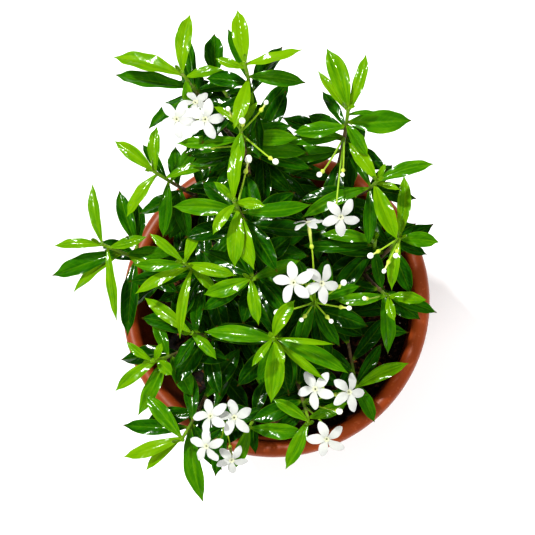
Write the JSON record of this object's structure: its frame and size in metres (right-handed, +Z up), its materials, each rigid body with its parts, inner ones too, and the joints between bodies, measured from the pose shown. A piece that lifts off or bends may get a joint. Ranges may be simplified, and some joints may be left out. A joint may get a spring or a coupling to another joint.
{
  "type": "potted crape jasmine",
  "caption": "Bushy crape jasmine with glossy lance-shaped leaves, white pinwheel flowers and buds, growing in a round tapered nursery pot with a rolled rim.",
  "frame": {"origin": "middle of the pot's flat base, on the surface that it stands on", "axes": "+Z up along the pot's axis; -Y is the front, the lower edge of the picture; +X is to the right of someone at the front"},
  "size_m": [0.2924, 0.3371, 0.4031],
  "materials": {
    "pot": "satin terracotta-coloured plastic",
    "potting_mix": "damp crumbly potting mix with bark chips",
    "leaf": "glossy leaf, yellow-green when young and dark green when old",
    "petal": "soft white petal, pale green at the tube",
    "bark": "thin grey-brown bark, green on young twigs",
    "stalk": "pale green flower stalk, calyx and bud"
  },
  "bodies": {
    "root": {"pot": "pot", "potting_mix": "potting_mix", "leafy_stem_1": "leaf", "leafy_stem_2": "leaf", "leafy_stem_3": "leaf", "leafy_stem_4": "leaf", "leafy_stem_5": "leaf", "leafy_stem_6": "leaf", "leafy_stem_7": "leaf", "leafy_stem_8": "leaf", "leafy_stem_9": "leaf", "flower_01": "petal", "flower_02": "petal", "flower_03": "petal", "flower_04": "petal", "flower_05": "petal", "flower_06": "petal", "flower_07": "petal", "flower_08": "petal", "flower_09": "petal", "flower_10": "petal", "flower_11": "petal", "flower_12": "petal", "flower_13": "petal", "flower_14": "petal"}
  },
  "joints": []
}
